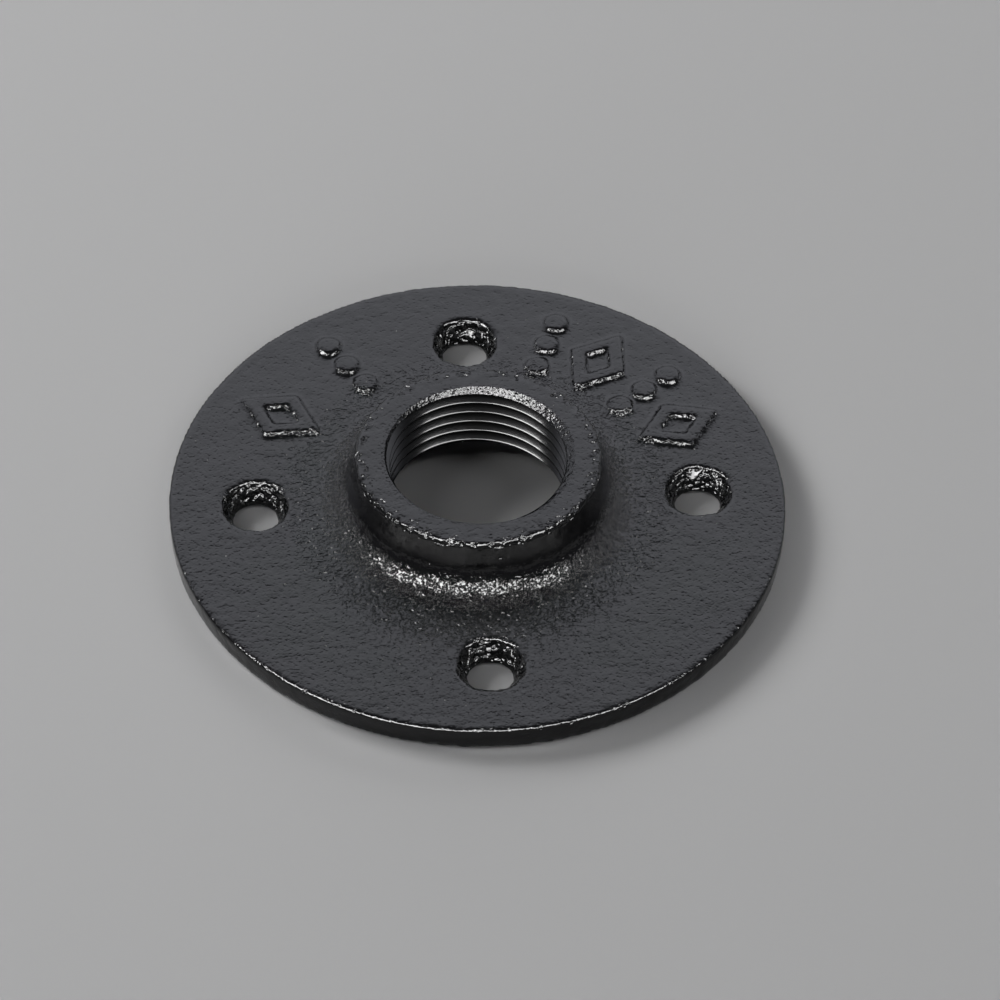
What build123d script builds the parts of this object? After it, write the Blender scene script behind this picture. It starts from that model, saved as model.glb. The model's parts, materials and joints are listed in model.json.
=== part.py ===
from build123d import *

import os
from math import radians, tan

# A floor flange for a threaded 3/4 inch pipe, sand-cast in one piece of malleable iron: a thin
# round disc with a ring of cored bolt holes, and a low hub that is bored for the pipe's thread.
# +Z runs up the bore, and z = 0 is the flat underside, which is bolted to a floor or a wall.
# Lengths are millimetres and angles are degrees.

# Bore. Its wall is the crest line of the G 3/4 thread. Level rings stand for the thread's turns.
thread_minor_diameter = 24.12
thread_pitch = 1.814
thread_depth = 1.16
thread_crest = 0.3  # flat left between two grooves
thread_turns = 4
lead_in = 1.25  # each leg of the 45 degree chamfer at the mouth
relief_width = 2.4  # how far the relief cone opens past the wall, at the underside
relief_depth = 2.6

# Hub
hub_land = 3.45  # flat ring round the mouth, as far as the hub's outer wall
hub_height = 8.7  # above the disc
hub_draft = 2.0
hub_edge_chamfer = 0.5
root_radius = 5.2  # concave blend from the hub down to the apron
apron_width = 8.5  # the disc rises this far out from the hub, up to the root
apron_rise = 0.42

# Bolt holes: a short straight land, then a cone that opens upwards
bolt_count = 4
bolt_circle_diameter = 61.0
bolt_hole_diameter = 6.5
bolt_land = 1.2
bolt_cone_angle = 64.0  # included

# Disc
disc_thickness = 3.6
rim_margin = 12.0  # from the bolt circle out to the rim, at the top face
rim_draft = 2.0  # the rim narrows downwards
rim_chamfer = 0.35

edge_share = 0.9  # the most of a wall or a gap that a rounding or a chamfer takes

overall_height = disc_thickness + hub_height
bore_radius = thread_minor_diameter / 2
mouth_radius = bore_radius + lead_in
hub_crown_radius = mouth_radius + hub_land
hub_root_radius = hub_crown_radius + hub_height * tan(radians(hub_draft))
bolt_circle_radius = bolt_circle_diameter / 2
bolt_radius = bolt_hole_diameter / 2
bolt_mouth_radius = bolt_radius + (disc_thickness - bolt_land) * tan(radians(bolt_cone_angle / 2))
rim_radius = bolt_circle_radius + rim_margin
foot_radius = rim_radius - disc_thickness * tan(radians(rim_draft))


def limited(size, room):
    """The size of a rounding or a chamfer, or less where the wall or gap beside it is short."""
    return min(size, edge_share * room)


def revolved(*outlines):
    """The solid that closed outlines sweep round the bore's axis; each point is (radius, height)."""
    with BuildPart() as turned:
        with BuildSketch(Plane.XZ):
            for outline in outlines:
                with BuildLine():
                    Polyline(*outline, close=True)
                make_face()
        revolve(axis=Axis.Z)
    return turned.part


def blank():
    """Disc and hub as they are moulded, still solid in the middle."""
    room_to_bolts = bolt_circle_radius - bolt_mouth_radius - hub_root_radius
    apron_radius = hub_root_radius + limited(apron_width, room_to_bolts)
    root_height = disc_thickness + apron_rise
    hub_edge = limited(hub_edge_chamfer, hub_land)
    rim_edge = limited(rim_chamfer, disc_thickness)
    with BuildPart() as casting:
        with BuildSketch(Plane.XZ) as section:
            with BuildLine():
                Polyline(
                    (0, 0),
                    (foot_radius, 0),
                    (rim_radius, disc_thickness - rim_edge),
                    (rim_radius - rim_edge, disc_thickness),
                    (apron_radius, disc_thickness),
                    (hub_root_radius, root_height),
                    (hub_crown_radius, overall_height - hub_edge),
                    (hub_crown_radius - hub_edge, overall_height),
                    (0, overall_height),
                    close=True,
                )
            make_face()
            root = section.vertices().sort_by_distance((hub_root_radius, root_height))[0]
            fillet(root, limited(root_radius, min(hub_height - apron_rise, room_to_bolts)))
        revolve(axis=Axis.Z)
    return casting.part


def pipe_bore():
    """What the reamers remove: the wall, the lead-in above it, the relief below."""
    return revolved(
        (
            (0, 0),
            (bore_radius + relief_width, 0),
            (bore_radius, relief_depth),
            (bore_radius, overall_height - lead_in),
            (mouth_radius, overall_height),
            (0, overall_height),
        )
    )


def thread_grooves():
    """What the tap removes, as level rings with sloping sides, about the middle of the wall."""
    middle = (relief_depth + overall_height - lead_in) / 2
    half_groove = (thread_pitch - thread_crest) / 2
    heights = [middle + (turn - (thread_turns - 1) / 2) * thread_pitch for turn in range(thread_turns)]
    return revolved(
        *(
            (
                (bore_radius / 2, height - half_groove),
                (bore_radius, height - half_groove),
                (bore_radius + thread_depth, height),
                (bore_radius, height + half_groove),
                (bore_radius / 2, height + half_groove),
            )
            for height in heights
        )
    )


def flange():
    """The finished casting, bored and tapped for the pipe, and holed for its bolts."""
    with BuildPart() as casting:
        add(blank())
        add(pipe_bore(), mode=Mode.SUBTRACT)
        add(thread_grooves(), mode=Mode.SUBTRACT)
        with Locations((0, 0, disc_thickness)):
            with PolarLocations(bolt_circle_radius, bolt_count):
                CounterSinkHole(
                    radius=bolt_radius,
                    counter_sink_radius=bolt_mouth_radius,
                    depth=disc_thickness,
                    counter_sink_angle=bolt_cone_angle,
                )
    return casting.part


os.makedirs("parts", exist_ok=True)
export_step(flange(), "parts/floor_flange.step")
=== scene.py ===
import json
from math import cos, hypot, pi, radians, sin, tan

import bpy
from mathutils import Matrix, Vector


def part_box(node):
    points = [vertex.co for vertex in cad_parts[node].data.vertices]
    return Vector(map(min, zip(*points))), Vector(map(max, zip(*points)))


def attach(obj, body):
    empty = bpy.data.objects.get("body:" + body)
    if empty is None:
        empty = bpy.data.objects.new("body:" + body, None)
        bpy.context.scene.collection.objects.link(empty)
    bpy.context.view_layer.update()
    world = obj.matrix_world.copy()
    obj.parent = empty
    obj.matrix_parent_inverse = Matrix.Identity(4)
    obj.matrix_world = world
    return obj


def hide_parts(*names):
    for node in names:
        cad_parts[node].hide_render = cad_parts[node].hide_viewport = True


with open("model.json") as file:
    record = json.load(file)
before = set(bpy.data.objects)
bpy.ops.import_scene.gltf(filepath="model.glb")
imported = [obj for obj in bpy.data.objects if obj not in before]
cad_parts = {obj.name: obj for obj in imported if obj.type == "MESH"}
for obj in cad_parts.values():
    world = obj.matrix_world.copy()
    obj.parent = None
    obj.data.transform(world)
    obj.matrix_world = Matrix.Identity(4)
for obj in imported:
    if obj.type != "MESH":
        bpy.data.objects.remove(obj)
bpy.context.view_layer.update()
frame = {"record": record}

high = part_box("floor_flange")[1]
mounts = {mount["name"]: mount for mount in frame["record"]["mounts"]}
mm = 0.001
bpy.ops.object.select_all(action="DESELECT")


# The casting: one piece of malleable iron from a sand mould, a thin round disc with a low hub. Its
# sides taper so that the pattern leaves the sand, and the disc rises gently to the hub's root.
skin_room = 0.08 * mm  # the rough skin stands out by up to this much
sole_room = 0.06 * mm  # and at the underside by up to this much
disc_radius = high.x - skin_room
disc_thickness = 3.6 * mm
rim_draft = 0.14 * mm
rim_rounding = 0.35 * mm
apron_radius = 25.0 * mm
apron_rise = 0.42 * mm
apron_rounding = 2.5 * mm
hub_top = high.z - skin_room
hub_root_radius = 17.1 * mm
hub_crown_radius = 16.85 * mm
hub_rounding = 0.6 * mm
root_radius = 5.2 * mm
outline_sides = 256


def edges_of_ring(mesh_object, radius, height):
    """Selects the edges that run round the axis at this radius and height, and nothing else."""
    mesh = mesh_object.data
    bpy.ops.object.mode_set(mode="OBJECT")
    reach = 0.02 * mm
    on_ring = {
        vertex.index
        for vertex in mesh.vertices
        if abs(hypot(vertex.co.x, vertex.co.y) - radius) < reach
        and abs(vertex.co.z - height) < reach
    }
    for face in mesh.polygons:
        face.select = False
    for vertex in mesh.vertices:
        vertex.select = False
    for edge in mesh.edges:
        edge.select = all(index in on_ring for index in edge.vertices)
    bpy.ops.object.mode_set(mode="EDIT")
    bpy.ops.mesh.select_mode(type="EDGE")


def faces_where(mesh_object, belongs):
    """Selects the faces whose centre and normal pass the test, and nothing else."""
    bpy.ops.object.mode_set(mode="EDIT")
    bpy.ops.mesh.select_mode(type="FACE")
    bpy.ops.mesh.select_all(action="DESELECT")
    bpy.ops.object.mode_set(mode="OBJECT")
    for face in mesh_object.data.polygons:
        face.select = belongs(face.center, face.normal)
    bpy.ops.object.mode_set(mode="EDIT")


def apply_all(mesh_object):
    """Applies every modifier of the object, in order."""
    bpy.ops.object.select_all(action="DESELECT")
    mesh_object.select_set(True)
    bpy.context.view_layer.objects.active = mesh_object
    for modifier in list(mesh_object.modifiers):
        bpy.ops.object.modifier_apply(modifier=modifier.name)


def place_in_mesh(mesh_object):
    """Moves an object's place, turn and size into its mesh."""
    bpy.ops.object.select_all(action="DESELECT")
    mesh_object.select_set(True)
    bpy.context.view_layer.objects.active = mesh_object
    bpy.ops.object.transform_apply(location=True, rotation=True, scale=True)


bpy.ops.mesh.primitive_cylinder_add(
    vertices=outline_sides,
    radius=disc_radius,
    depth=disc_thickness - sole_room,
    location=(0, 0, (disc_thickness + sole_room) / 2),
)
flange = bpy.context.object
flange.name = "flange_casting"
place_in_mesh(flange)
taper = (disc_radius - rim_draft) / disc_radius
faces_where(flange, lambda centre, normal: normal.z < -0.5)
bpy.ops.transform.resize(value=(taper, taper, 1), center_override=(0, 0, 0))
faces_where(flange, lambda centre, normal: normal.z > 0.5)
bpy.ops.mesh.inset(thickness=disc_radius - apron_radius, depth=0)
bpy.ops.mesh.inset(thickness=apron_radius - hub_root_radius, depth=apron_rise)
rise = hub_top - disc_thickness - apron_rise
bpy.ops.mesh.extrude_region_move(TRANSFORM_OT_translate={"value": (0, 0, rise)})
taper = hub_crown_radius / hub_root_radius
bpy.ops.transform.resize(value=(taper, taper, 1), center_override=(0, 0, 0))
bpy.ops.object.mode_set(mode="OBJECT")
for radius, height, rounding, steps in (
    (hub_root_radius, disc_thickness + apron_rise, root_radius, 16),
    (hub_crown_radius, hub_top, hub_rounding, 5),
    (apron_radius, disc_thickness, apron_rounding, 5),
    (disc_radius, disc_thickness, rim_rounding, 4),
):
    edges_of_ring(flange, radius, height)
    bpy.ops.mesh.bevel(offset=rounding, segments=steps, affect="EDGES")
    bpy.ops.object.mode_set(mode="OBJECT")


# Bolt holes: sand cores in the mould leave them. Each has a short straight land at the underside, a
# cone above it, and a soft lip.
bolts = mounts["bolt_holes"]["dims"]
bolt_circle_radius = bolts["pcd_mm"] / 2 * mm
bolt_hole_radius = (bolts["hole_r_mm"] - 0.15) * mm  # the enamel narrows it
bolt_land = 1.0 * mm
bolt_cone_height = 3.1 * mm
bolt_cone_radius = 4.4 * mm
bolt_lip_radius = 4.65 * mm
past_surface = 1.5 * mm

bpy.ops.object.select_all(action="DESELECT")
bpy.ops.mesh.primitive_cylinder_add(
    vertices=64,
    radius=bolt_hole_radius,
    depth=bolt_land + past_surface,
    location=(bolt_circle_radius, 0, (bolt_land - past_surface) / 2),
)
core = bpy.context.object
place_in_mesh(core)
faces_where(core, lambda centre, normal: normal.z > 0.5)
reached_height, reached_radius = bolt_land, bolt_hole_radius
for height, radius in (
    (bolt_cone_height, bolt_cone_radius),
    (disc_thickness, bolt_lip_radius),
    (disc_thickness + past_surface, bolt_lip_radius + past_surface),
):
    rise = height - reached_height
    bpy.ops.mesh.extrude_region_move(TRANSFORM_OT_translate={"value": (0, 0, rise)})
    growth = radius / reached_radius
    centre = (bolt_circle_radius, 0, height)
    bpy.ops.transform.resize(value=(growth, growth, 1), center_override=centre)
    reached_height, reached_radius = height, radius
bpy.ops.object.mode_set(mode="OBJECT")

cores = [core]
for number in range(1, bolts["count"]):
    bpy.ops.object.select_all(action="DESELECT")
    core.select_set(True)
    bpy.context.view_layer.objects.active = core
    bpy.ops.object.duplicate()
    bpy.ops.transform.rotate(
        value=2 * pi * number / bolts["count"], orient_axis="Z", center_override=(0, 0, 0)
    )
    cores.append(bpy.context.object)
    place_in_mesh(cores[-1])
for hole in cores:
    cut = flange.modifiers.new("bolt_hole", "BOOLEAN")
    cut.operation = "DIFFERENCE"
    cut.solver = "EXACT"
    cut.object = hole
apply_all(flange)
for hole in cores:
    bpy.data.objects.remove(hole)


# Mould marks: plain raised shapes in two groups, one each side of a bolt hole, that the pattern
# presses into the sand. They are hollow diamonds and rows of dots, and they spell nothing.
mark_height = 0.65 * mm
mark_root = 0.8 * mm
mark_reach = 12.2 * mm  # along the radius
mark_width = 8.4 * mm
mark_stroke = 1.7 * mm
mark_radius = 31.4 * mm
dot_radius = 1.55 * mm
mark_places = (
    ("diamond", 147.5),
    ("row", 122.5),
    ("row", 68.5),
    ("diamond", 54.0),
    ("row", 38.5),
    ("diamond", 23.5),
)
opening_length = mark_reach - 3.4 * mark_stroke
opening_width = mark_width - 2.3 * mark_stroke
mark_middle = disc_thickness + (mark_height - mark_root) / 2
mark_depth = mark_height + mark_root


def lozenge(length, width):
    """A solid lozenge with its long axis along Y."""
    bpy.ops.object.select_all(action="DESELECT")
    bpy.ops.mesh.primitive_cylinder_add(vertices=4, radius=length / 2, depth=mark_depth)
    bpy.context.object.scale = (width / length, 1, 1)
    place_in_mesh(bpy.context.object)
    return bpy.context.object


def dot(along):
    """A round dot on the Y axis."""
    bpy.ops.object.select_all(action="DESELECT")
    bpy.ops.mesh.primitive_cylinder_add(
        vertices=24, radius=dot_radius, depth=mark_depth, location=(0, along, 0)
    )
    place_in_mesh(bpy.context.object)
    return bpy.context.object


def join(pieces):
    """Makes one object of several, and gives it back."""
    bpy.ops.object.select_all(action="DESELECT")
    for piece in pieces:
        piece.select_set(True)
    bpy.context.view_layer.objects.active = pieces[0]
    bpy.ops.object.join()
    return bpy.context.object


marks = []
for kind, angle in mark_places:
    if kind == "diamond":
        frame_shape = lozenge(mark_reach, mark_width)
        opening = lozenge(opening_length, opening_width)
        opening.scale = (1, 1, 2)  # it stands past both faces that it cuts
        place_in_mesh(opening)
        cut = frame_shape.modifiers.new("opening", "BOOLEAN")
        cut.operation = "DIFFERENCE"
        cut.solver = "EXACT"
        cut.object = opening
        apply_all(frame_shape)
        bpy.data.objects.remove(opening)
        mark = join([frame_shape])
    else:
        outer_dot = mark_reach / 2 - dot_radius
        mark = join([dot(outer_dot), dot(0), dot(-outer_dot)])
    turn = radians(angle)
    bpy.ops.transform.translate(value=(0, mark_radius, mark_middle))
    bpy.ops.transform.rotate(value=pi / 2 - turn, orient_axis="Z", center_override=(0, 0, 0))
    place_in_mesh(mark)
    marks.append(mark)
flange = join([flange] + marks)


# The cast skin: the sand leaves a fine uneven surface, which the enamel softens. One even mesh
# joins the marks to the disc, and the skin's relief is then pressed into it.
skin_mesh = 0.42 * mm

remesh = flange.modifiers.new("even_mesh", "REMESH")
remesh.mode = "VOXEL"
remesh.voxel_size = skin_mesh
remesh.use_smooth_shade = True
apply_all(flange)

broken = flange.vertex_groups.new(name="broken_sand")
for vertex in flange.data.vertices:
    x, y, z = vertex.co / mm
    across = hypot(x, y)
    if across < 40 and 0.4 < z < 3.5:  # the walls of the bolt holes
        share = 1.0
    elif across > 15.3 and z > 11.0:  # the outer margin of the crown
        share = 0.75
    elif 17.5 < across < 27 and 3.0 < z < 6.4:  # the foot of the hub
        share = 0.45 if across < 21.5 else 0.25
    elif across > 24 and z > 3.8 and vertex.normal.z < 0.9:  # the sides of the marks
        share = 0.5
    elif across > 41.6 and z > 2.6:  # the top edge of the rim
        share = 0.25
    else:
        continue
    broken.add([vertex.index], share, "REPLACE")
for name, size, depth, level, where in (
    ("skin_waves", 5.0 * mm, 0.10 * mm, 0.6, ""),
    ("skin_lumps", 1.5 * mm, 0.09 * mm, 0.6, ""),
    ("sand_lumps", 1.0 * mm, 0.42 * mm, 0.5, "broken_sand"),
):
    pattern = bpy.data.textures.new(name, "CLOUDS")
    pattern.noise_scale = size
    pattern.noise_depth = 1
    relief = flange.modifiers.new(name, "DISPLACE")
    relief.texture = pattern
    relief.texture_coords = "LOCAL"
    relief.strength = depth
    relief.mid_level = level
    relief.vertex_group = where
apply_all(flange)


# The pipe thread: the hub is bored after casting, and a tap cuts the G 3/4 thread in it. The bore
# opens to the thread in a short lead-in cone, and below the thread in a wider relief cone.
thread = mounts["pipe_thread"]["dims"]
thread_length = thread["length_mm"] * mm
thread_middle = mounts["pipe_thread"]["pos_m"][2]
crest_radius = thread["r_mm"] * mm
groove_radius = 13.22 * mm
thread_pitch = 1.814 * mm
flank_angle = radians(27.5)
groove_floor = 0.30 * mm
lead_in = 1.0 * mm
lead_in_drift = 0.2 * mm  # the cone was reamed a little off the bore's axis
relief_width = 2.4 * mm
bore_sides = 360
relief_lift = 0.05 * mm  # the relief cone starts this far above the thread's lower end
mouth_drop = 0.05 * mm  # the lead-in cone's mouth lies this far under the solid's top
steps_per_turn = 180
relief_top = thread_middle - thread_length / 2 + relief_lift
lead_in_foot = high.z - mouth_drop - lead_in

bpy.ops.object.select_all(action="DESELECT")
bpy.ops.mesh.primitive_cylinder_add(
    vertices=bore_sides,
    radius=crest_radius,
    depth=lead_in_foot - relief_top,
    location=(0, 0, (lead_in_foot + relief_top) / 2),
)
reamer = bpy.context.object
place_in_mesh(reamer)
for side, height, rise, widening in (
    (1, lead_in_foot, 2 * lead_in, 2 * lead_in),
    (-1, relief_top, -1.2 * relief_top, 1.2 * relief_width),
):
    faces_where(reamer, lambda centre, normal: normal.z * side > 0.9)
    bpy.ops.mesh.extrude_region_move(TRANSFORM_OT_translate={"value": (0, 0, rise)})
    growth = 1 + widening / crest_radius
    bpy.ops.transform.resize(value=(growth, growth, 1), center_override=(0, 0, height))
    if side > 0:
        bpy.ops.transform.translate(value=(2 * lead_in_drift, 0, 0))
    bpy.ops.object.mode_set(mode="OBJECT")

bpy.ops.object.select_all(action="DESELECT")
bpy.ops.mesh.primitive_circle_add(vertices=6, radius=mm)
tap = bpy.context.object
crest_rounding = 0.10 * mm
inside_crest = 0.02 * mm
flank_end = groove_floor / 2 + (groove_radius - crest_radius - crest_rounding) * tan(flank_angle)
tooth_end = flank_end + crest_rounding + inside_crest
for vertex, (radius, height) in zip(
    tap.data.vertices,
    (
        (crest_radius - inside_crest, -tooth_end),
        (crest_radius + crest_rounding, -flank_end),
        (groove_radius, -groove_floor / 2),
        (groove_radius, groove_floor / 2),
        (crest_radius + crest_rounding, flank_end),
        (crest_radius - inside_crest, tooth_end),
    ),
):
    vertex.co = (radius, 0, height)
turns = 8
for vertex in tap.data.vertices:
    vertex.co.z += thread_middle - turns * thread_pitch / 2
sweep = tap.modifiers.new("helix", "SCREW")
sweep.axis = "Z"
sweep.angle = 2 * pi
sweep.screw_offset = thread_pitch
sweep.iterations = turns
sweep.steps = steps_per_turn
sweep.render_steps = steps_per_turn
apply_all(tap)
bpy.ops.object.mode_set(mode="EDIT")
bpy.ops.mesh.select_all(action="SELECT")
bpy.ops.mesh.remove_doubles(threshold=0.001 * mm)
bpy.ops.mesh.fill_holes(sides=6)
bpy.ops.mesh.select_all(action="SELECT")
bpy.ops.mesh.normals_make_consistent(inside=False)
bpy.ops.object.mode_set(mode="OBJECT")

for tool in (reamer, tap):
    cut = flange.modifiers.new("bore", "BOOLEAN")
    cut.operation = "DIFFERENCE"
    cut.solver = "EXACT"
    cut.object = tool
apply_all(flange)
for tool in (reamer, tap):
    bpy.data.objects.remove(tool)
bpy.ops.object.select_all(action="DESELECT")
flange.select_set(True)
bpy.context.view_layer.objects.active = flange
bpy.ops.object.shade_smooth_by_angle(angle=radians(30))
points = flange.data.vertices
for edge in flange.data.edges:  # only the cut edges are crisp
    if all(hypot(*points[index].co.xy) > groove_radius + lead_in for index in edge.vertices):
        edge.use_edge_sharp = False


# The finish: black enamel, dipped or sprayed on in one thin semi-gloss coat. It rounds the cast
# skin into an orange peel with small pits and specks. It is rougher in the corners, where the sand
# broke away, and lies smooth over the tapped bore.
def add_node(tree, kind, settings=(), **sockets):
    """A new node with its settings. Each socket, with _ for a space, gets a value or a link."""
    node = tree.nodes.new(kind)
    for name, value in dict(settings).items():
        setattr(node, name, value)
    for name, value in sockets.items():
        place_in_list = name[1:].isdigit()
        socket = node.inputs[int(name[1:]) if place_in_list else name.replace("_", " ")]
        if isinstance(value, bpy.types.NodeSocket):
            tree.links.new(value, socket)
        else:
            socket.default_value = value
    return node


def math_of(tree, operation, first, second=0.0, third=0.0):
    """The result of a Math node on numbers or other nodes' outputs."""
    node = add_node(
        tree, "ShaderNodeMath", {"operation": operation}, _0=first, _1=second, _2=third
    )
    return node.outputs[0]


def between(tree, value, start, end, low_value=0.0, high_value=1.0):
    """A value eased from one level to another, as its input goes from start to end."""
    node = add_node(
        tree,
        "ShaderNodeMapRange",
        {"interpolation_type": "SMOOTHSTEP"},
        Value=value,
        From_Min=start,
        From_Max=end,
        To_Min=low_value,
        To_Max=high_value,
    )
    return node.outputs["Result"]


def noise(tree, place, per_mm, detail=2.0, roughness=0.5):
    """The grey output of a noise pattern of so many lumps to the millimetre."""
    node = add_node(
        tree, "ShaderNodeTexNoise", Vector=place, Scale=per_mm, Detail=detail, Roughness=roughness
    )
    return node.outputs["Fac"]


peel_group = bpy.data.node_groups.new("enamel_peel", "ShaderNodeTree")
for name, kind in (
    ("Place", "NodeSocketVector"),
    ("Lumps per mm", "NodeSocketFloat"),
    ("Depth", "NodeSocketFloat"),
):
    peel_group.interface.new_socket(name=name, in_out="INPUT", socket_type=kind)
peel_group.interface.new_socket(name="Height", in_out="OUTPUT", socket_type="NodeSocketFloat")
entry = peel_group.nodes.new("NodeGroupInput").outputs
swell = noise(peel_group, entry["Place"], entry["Lumps per mm"], detail=1.0)
finer = math_of(peel_group, "MULTIPLY", entry["Lumps per mm"], 2.6)
grain = noise(peel_group, entry["Place"], finer, detail=1.0)
both = math_of(peel_group, "MULTIPLY_ADD", grain, 0.3, swell)
peel_height = math_of(peel_group, "MULTIPLY", both, entry["Depth"])
peel_group.links.new(peel_height, peel_group.nodes.new("NodeGroupOutput").inputs["Height"])


def enamel(name, gloss_roughness, lumps_per_mm, depth):
    """A black enamel: the material, its node tree, its place in mm, and its peel's height."""
    material = bpy.data.materials.new(name)
    material.use_nodes = True
    tree = material.node_tree
    shader = tree.nodes["Principled BSDF"]
    shader.inputs["Base Color"].default_value = (0.002, 0.002, 0.0023, 1)
    shader.inputs["Roughness"].default_value = gloss_roughness
    shader.inputs["IOR"].default_value = 1.45
    coordinates = add_node(tree, "ShaderNodeTexCoord")
    per_metre = (1000, 1000, 1000)
    scale = add_node(
        tree, "ShaderNodeMapping", Vector=coordinates.outputs["Object"], Scale=per_metre
    )
    place = scale.outputs["Vector"]
    peel = add_node(
        tree,
        "ShaderNodeGroup",
        {"node_tree": peel_group},
        Place=place,
        Lumps_per_mm=lumps_per_mm,
        Depth=depth,
    )
    return material, tree, place, peel.outputs["Height"]


def raise_surface(tree, height):
    """Feeds the shader's normal from a height in millimetres."""
    relief = add_node(tree, "ShaderNodeBump", Strength=1.0, Distance=mm, Height=height)
    tree.links.new(relief.outputs["Normal"], tree.nodes["Principled BSDF"].inputs["Normal"])


cast_enamel, tree, place, height = enamel("cast_enamel", 0.13, 1.25, 0.07)
axes = add_node(tree, "ShaderNodeSeparateXYZ", Vector=place).outputs
flat_place = add_node(tree, "ShaderNodeCombineXYZ", X=axes["X"], Y=axes["Y"]).outputs[0]
length = add_node(tree, "ShaderNodeVectorMath", {"operation": "LENGTH"}, Vector=flat_place)
across = length.outputs["Value"]
above = axes["Z"]
normal = add_node(tree, "ShaderNodeNewGeometry").outputs["Normal"]
upright = add_node(tree, "ShaderNodeSeparateXYZ", Vector=normal).outputs["Z"]
dimples = noise(tree, place, 1.7, detail=1.5)
height = math_of(tree, "ADD", height, between(tree, dimples, 0.28, 0.48, -0.04, 0.0))
smoother = math_of(
    tree,
    "MULTIPLY",
    between(tree, upright, 0.2, 0.9, 0.3, 1.0),
    between(tree, axes["Y"], -5.0, 30.0, 1.0, 0.55),
)
smoother = math_of(tree, "MULTIPLY", smoother, between(tree, above, 10.0, 12.0, 1.0, 0.6))
height = math_of(tree, "MULTIPLY", height, smoother)
# Where the sand broke away: the root, the crown, the rim, the holes and the sides of the marks.
at_root = math_of(
    tree,
    "MULTIPLY",
    between(tree, across, 20.5, 23.5, 1.0, 0.0),
    between(tree, above, 5.4, 7.0, 1.0, 0.0),
)
at_root = math_of(tree, "MULTIPLY", at_root, between(tree, above, 2.5, 3.0))
at_crown = math_of(
    tree,
    "MULTIPLY",
    between(tree, across, 14.6, 15.9),
    between(tree, above, 10.8, 11.6, 0.0, 0.8),
)
at_rim = math_of(
    tree,
    "MULTIPLY",
    between(tree, across, 41.6, 42.2),
    between(tree, above, 2.8, 3.3, 0.0, 0.3),
)
in_hole = math_of(
    tree,
    "MULTIPLY",
    between(tree, above, 3.2, 3.55, 1.0, 0.0),
    between(tree, across, 38.5, 39.5, 1.0, 0.0),
)
in_hole = math_of(tree, "MULTIPLY", in_hole, between(tree, above, 0.1, 0.4))
on_mark = math_of(
    tree,
    "MULTIPLY",
    between(tree, across, 24.0, 25.0),
    between(tree, above, 3.65, 3.85),
)
on_mark = math_of(tree, "MULTIPLY", on_mark, between(tree, upright, 0.75, 0.95, 1.0, 0.0))
chipped = math_of(
    tree,
    "ADD",
    math_of(tree, "ADD", at_rim, at_crown),
    math_of(tree, "ADD", in_hole, on_mark),
)
# Crust at the root, and chips along the edges.
broken_sand = noise(tree, place, 2.1, detail=3.0, roughness=0.6)
crust_start = math_of(tree, "MULTIPLY_ADD", at_root, -0.30, 0.74)
crust_end = math_of(tree, "ADD", crust_start, 0.16)
crust = between(tree, broken_sand, crust_start, crust_end, 0.0, -0.19)
height = math_of(tree, "ADD", height, crust)
chip_noise = noise(tree, place, 1.1, detail=1.0)
chip_start = math_of(tree, "MULTIPLY_ADD", chipped, -0.32, 0.74)
chips = between(tree, chip_noise, chip_start, math_of(tree, "ADD", chip_start, 0.25), 0.0, -0.22)
height = math_of(tree, "ADD", height, chips)
# Pits on the disc round the root, nibs all over, and flecks on the crown.
pit_zone = math_of(
    tree,
    "MULTIPLY",
    between(tree, across, 20.5, 22.5),
    between(tree, across, 24.0, 31.0, 1.0, 0.0),
)
pit_zone = math_of(tree, "MULTIPLY", pit_zone, between(tree, above, 2.5, 3.0))
pit_noise = noise(tree, place, 1.1, detail=2.0, roughness=0.6)
pit_start = math_of(tree, "MULTIPLY_ADD", pit_zone, -0.30, 0.72)
pits = between(tree, pit_noise, pit_start, math_of(tree, "ADD", pit_start, 0.17), 0.0, -0.075)
height = math_of(tree, "ADD", height, pits)
nib = add_node(tree, "ShaderNodeTexVoronoi", Vector=place, Scale=0.5).outputs["Distance"]
height = math_of(tree, "ADD", height, between(tree, nib, 0.0, 0.08, 0.10, 0.0))
fleck = add_node(tree, "ShaderNodeTexVoronoi", Vector=place, Scale=0.75).outputs["Distance"]
fleck = math_of(tree, "MULTIPLY", between(tree, fleck, 0.0, 0.26, 0.34, 0.0), at_crown)
height = math_of(tree, "ADD", height, fleck)
raise_surface(tree, height)

bore_enamel, tree, place, height = enamel("bore_enamel", 0.17, 0.8, 0.012)
axes = add_node(tree, "ShaderNodeSeparateXYZ", Vector=place).outputs
# The marks that the reamer left on the lead-in cone.
chatter = noise(tree, place, 1.6, detail=2.0)
on_lead_in = between(tree, axes["Z"], 11.0, 11.4)
height = math_of(
    tree,
    "MULTIPLY_ADD",
    math_of(tree, "MULTIPLY", chatter, 0.25),
    on_lead_in,
    height,
)
raise_surface(tree, height)

relief_height = 2.7 * mm
relief_margin = 1.35 * mm  # how far the cut surface goes past the grooves, in the relief cone
lead_in_margin = 0.13 * mm  # and in the lead-in cone
flange.data.materials.clear()
flange.data.materials.append(cast_enamel)
flange.data.materials.append(bore_enamel)
for face in flange.data.polygons:
    in_relief = face.center.z < relief_height and face.normal.z > -0.9
    bore_edge = groove_radius + (relief_margin if in_relief else lead_in_margin)
    face.material_index = 1 if hypot(face.center.x, face.center.y) < bore_edge else 0

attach(flange, "root")
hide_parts("floor_flange")


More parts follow.
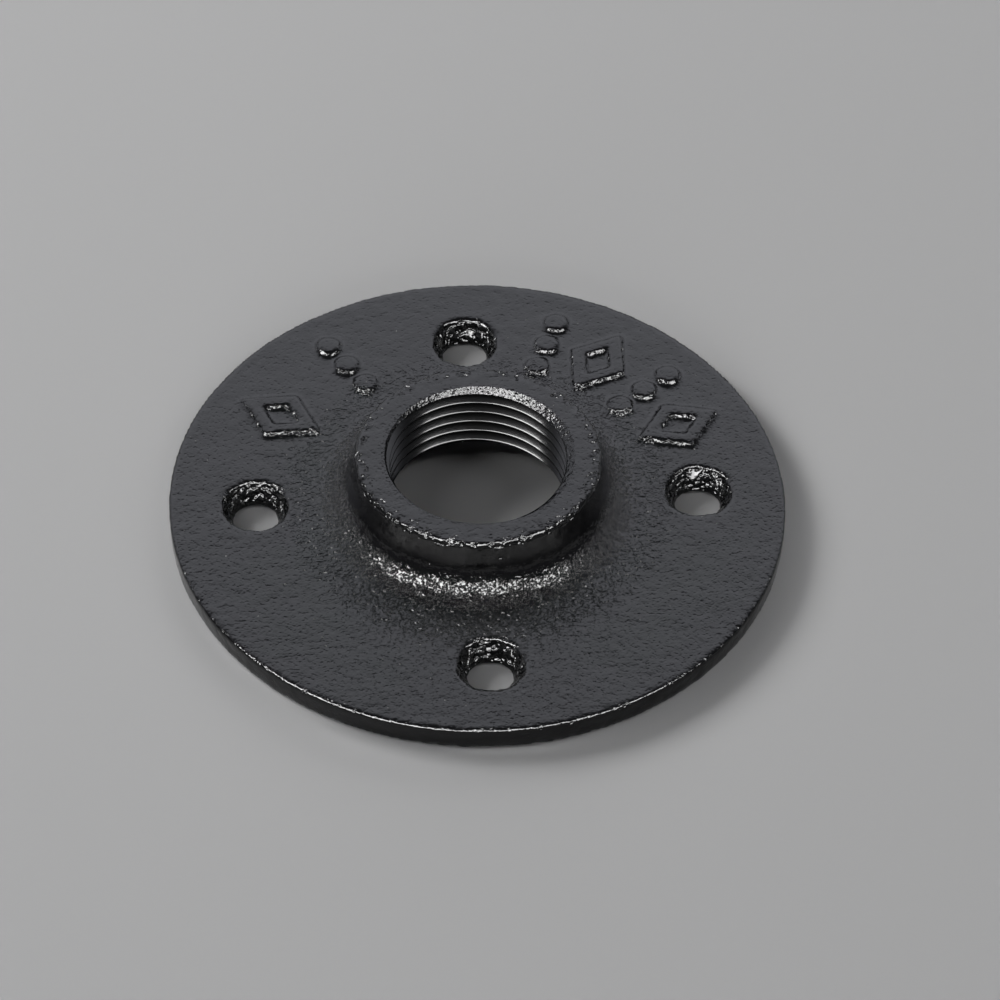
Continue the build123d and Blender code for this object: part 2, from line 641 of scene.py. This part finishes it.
# The stage: a plain pale floor in a soft studio, pale behind and dark overhead and in front. Strip
# lamps over the camera put the highlights on the enamel, and the other lamps light the floor.
bpy.ops.object.select_all(action="DESELECT")
bpy.ops.mesh.primitive_plane_add(size=6)
floor = bpy.context.object
floor.name = "floor"
floor_paint = bpy.data.materials.new("floor_paint")
floor_paint.use_nodes = True
floor_shader = floor_paint.node_tree.nodes["Principled BSDF"]
floor_shader.inputs["Base Color"].default_value = (0.5, 0.5, 0.505, 1)
floor_shader.inputs["Roughness"].default_value = 0.9
floor_shader.inputs["Specular IOR Level"].default_value = 0
floor.data.materials.append(floor_paint)


def direction(azimuth, elevation):
    """The unit vector from the flange. Azimuth 0 is towards -Y and 90 towards +X, in degrees."""
    around, above = radians(azimuth), radians(elevation)
    return Vector((sin(around) * cos(above), -cos(around) * cos(above), sin(above)))


def panel(name, azimuth, elevation, distance, width, depth, brightness):
    """A soft rectangular lamp that faces the flange. At a brightness of 1 it looks white."""
    towards = direction(azimuth, elevation)
    bpy.ops.object.light_add(type="AREA", location=towards * distance)
    lamp = bpy.context.object
    lamp.name = name
    lamp.rotation_euler = towards.to_track_quat("Z", "Y").to_euler()
    lamp.data.shape = "RECTANGLE"
    lamp.data.size = width
    lamp.data.size_y = depth
    lamp.data.energy = brightness * pi * width * depth
    return lamp


strip_distance = 1.1
strip_depth = 0.4
lamp_distance = 1.4
for name, azimuth, elevation, width, brightness in (
    ("strip_left", -45, 44, 1.3, 27),
    ("strip_right", 34, 44, 1.15, 19),
):
    strip = panel(name, azimuth, elevation, strip_distance, width, strip_depth, brightness)
    strip.visible_diffuse = False
for name, azimuth, elevation, width, depth, brightness in (
    ("key_lamp", -125, 30, 0.6, 0.5, 16),
    ("left_lamp", -88, 42, 0.3, 1.1, 3.6),
    ("right_lamp", 92, 42, 0.3, 1.1, 3.0),
    ("front_lamp", -10, 15, 0.9, 0.5, 5.0),
    ("back_lamp", 175, 20, 0.9, 0.5, 4.0),
):
    lamp = panel(name, azimuth, elevation, lamp_distance, width, depth, brightness)
    lamp.visible_glossy = False

world = bpy.data.worlds.new("studio")
bpy.context.scene.world = world
world.use_nodes = True
world.cycles_visibility.diffuse = False
room = world.node_tree
look = add_node(room, "ShaderNodeTexCoord")
way = add_node(room, "ShaderNodeSeparateXYZ", Vector=look.outputs["Generated"]).outputs
shades = []
for steps in (
    ((0, 0.12), (0.5, 0.13), (0.9, 0.13), (1, 0.12)),  # in front, from the horizon to overhead
    (  # behind
        (0, 0.5), (0.35, 1.0), (0.55, 1.6), (0.7, 1.5),
        (0.77, 1.55), (0.85, 0.9), (0.91, 0.42), (0.97, 0.12),
    ),
):
    node = add_node(room, "ShaderNodeValToRGB", Fac=way["Z"])
    while len(node.color_ramp.elements) < len(steps):
        node.color_ramp.elements.new(0.5)
    for element, (height, grey) in zip(node.color_ramp.elements, steps):
        element.position = height
        element.color = (grey * 0.98, grey, grey * 1.09, 1)
    shades.append(node.outputs["Color"])
behind = between(room, way["Y"], 0.1, 0.6)
blend = add_node(
    room, "ShaderNodeMix", {"data_type": "RGBA"}, Factor=behind, _6=shades[0], _7=shades[1]
)
room.links.new(blend.outputs[2], room.nodes["Background"].inputs["Color"])

camera_azimuth = -4.48
camera_elevation = 46.45
camera_distance = 0.6843
camera_roll = radians(1.298)
aim = Vector((3.33 * mm, 2.88 * mm, 0))
stand = aim + direction(camera_azimuth, camera_elevation) * camera_distance
bpy.ops.object.camera_add(location=stand)
camera = bpy.context.object
camera.rotation_euler = (pi / 2 - radians(camera_elevation), 0, radians(camera_azimuth))
camera.rotation_euler.rotate_axis("Z", camera_roll)
camera.data.lens = 177.9
camera.data.sensor_width = 36
camera.data.clip_start = 0.01
bpy.context.scene.camera = camera
bpy.context.scene.view_settings.view_transform = "Standard"
